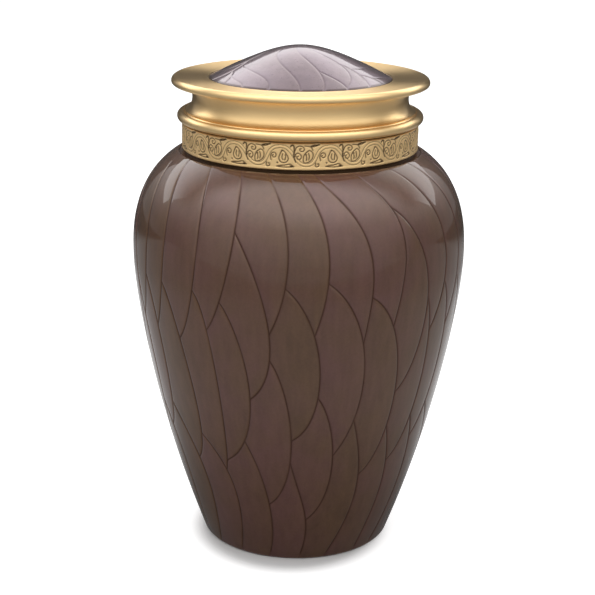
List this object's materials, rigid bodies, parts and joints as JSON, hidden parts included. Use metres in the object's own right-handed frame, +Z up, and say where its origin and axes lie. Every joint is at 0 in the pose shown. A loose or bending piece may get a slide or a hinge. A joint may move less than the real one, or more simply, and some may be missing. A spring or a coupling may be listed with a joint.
{
  "type": "cremation urn",
  "caption": "Hollow brass cremation urn: flared enamelled vessel with feather carving, scroll-engraved collar and a broad turned lid with a low enamelled dome.",
  "frame": {"origin": "centre of the underside of the foot ring, on the surface that the urn stands on", "axes": "+Z up along the axis that every piece is turned about; +Y away from the viewer, +X to the viewer's right"},
  "size_m": [0.171, 0.171, 0.2587],
  "materials": {
    "pearl_enamel": "brass under brown pearl enamel and clear gloss",
    "engraved_brass": "engraved scrollwork with darkened recesses",
    "satin_brass": "satin turned, lacquered",
    "dome_enamel": "brass under brown pearl enamel and clear gloss"
  },
  "bodies": {
    "root": {"urn_body": "pearl_enamel", "collar_band": "engraved_brass", "lid": "satin_brass", "lid_dome": "dome_enamel"}
  },
  "joints": []
}
